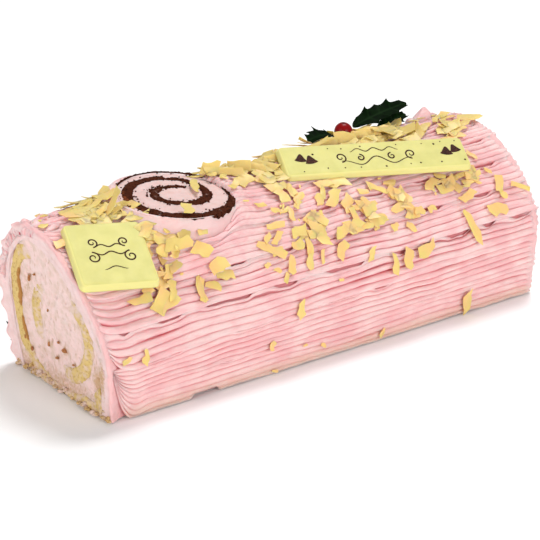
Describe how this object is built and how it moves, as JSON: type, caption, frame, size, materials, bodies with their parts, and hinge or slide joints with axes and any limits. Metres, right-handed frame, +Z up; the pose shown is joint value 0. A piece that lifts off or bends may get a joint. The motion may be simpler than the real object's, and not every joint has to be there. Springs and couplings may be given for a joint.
{
  "type": "yule log cake",
  "caption": "Yule log cake: rolled sponge under piped pink buttercream, with a chocolate roll slice, white chocolate plaques, a holly sprig and shavings.",
  "frame": {"origin": "middle of the underside of the cake's box, on the surface that it rests on", "axes": "+X along the log, away from the cut end that leans out; -Y is the front, where the plaques face; +Z up"},
  "size_m": [0.2764, 0.0976, 0.0996],
  "materials": {
    "buttercream": "soft piped pink buttercream, satin",
    "sponge": "porous yellow sponge with a browned skin",
    "filling": "pale pink cream, smeared",
    "chocolate_sponge": "crumbly dark chocolate sponge",
    "white_chocolate": "moulded pale yellow chocolate, waxy",
    "shaving": "thin translucent white chocolate shavings",
    "holly": "dark green glossy leaf",
    "berry": "glossy red berry"
  },
  "bodies": {
    "root": {"buttercream_coat": "buttercream", "sponge_spiral": "sponge", "filling_spiral": "filling", "branch_sponge": "chocolate_sponge", "branch_filling": "filling", "branch_skirt": "buttercream", "square_plaque": "white_chocolate", "long_plaque": "white_chocolate", "holly_berry": "berry", "holly_leaf_large": "holly", "holly_leaf_left": "holly", "holly_leaf_right": "holly", "shaving_01": "shaving", "shaving_02": "shaving", "shaving_03": "shaving", "shaving_04": "shaving", "shaving_05": "shaving", "shaving_06": "shaving", "shaving_07": "shaving", "shaving_08": "shaving", "shaving_09": "shaving", "shaving_10": "shaving", "shaving_11": "shaving", "shaving_12": "shaving", "shaving_13": "shaving", "shaving_14": "shaving", "shaving_15": "shaving", "shaving_16": "shaving", "shaving_17": "shaving", "shaving_18": "shaving", "shaving_19": "shaving", "shaving_20": "shaving", "shaving_21": "shaving", "shaving_22": "shaving", "shaving_23": "shaving", "shaving_24": "shaving", "shaving_25": "shaving", "shaving_26": "shaving", "shaving_27": "shaving", "shaving_28": "shaving", "shaving_29": "shaving", "shaving_30": "shaving", "shaving_31": "shaving", "shaving_32": "shaving", "shaving_33": "shaving", "shaving_34": "shaving", "shaving_35": "shaving", "shaving_36": "shaving", "shaving_37": "shaving", "shaving_38": "shaving", "shaving_39": "shaving", "shaving_40": "shaving", "shaving_41": "shaving", "shaving_42": "shaving", "propped_shaving_1": "shaving", "propped_shaving_2": "shaving", "propped_shaving_3": "shaving", "propped_shaving_4": "shaving"}
  },
  "joints": []
}
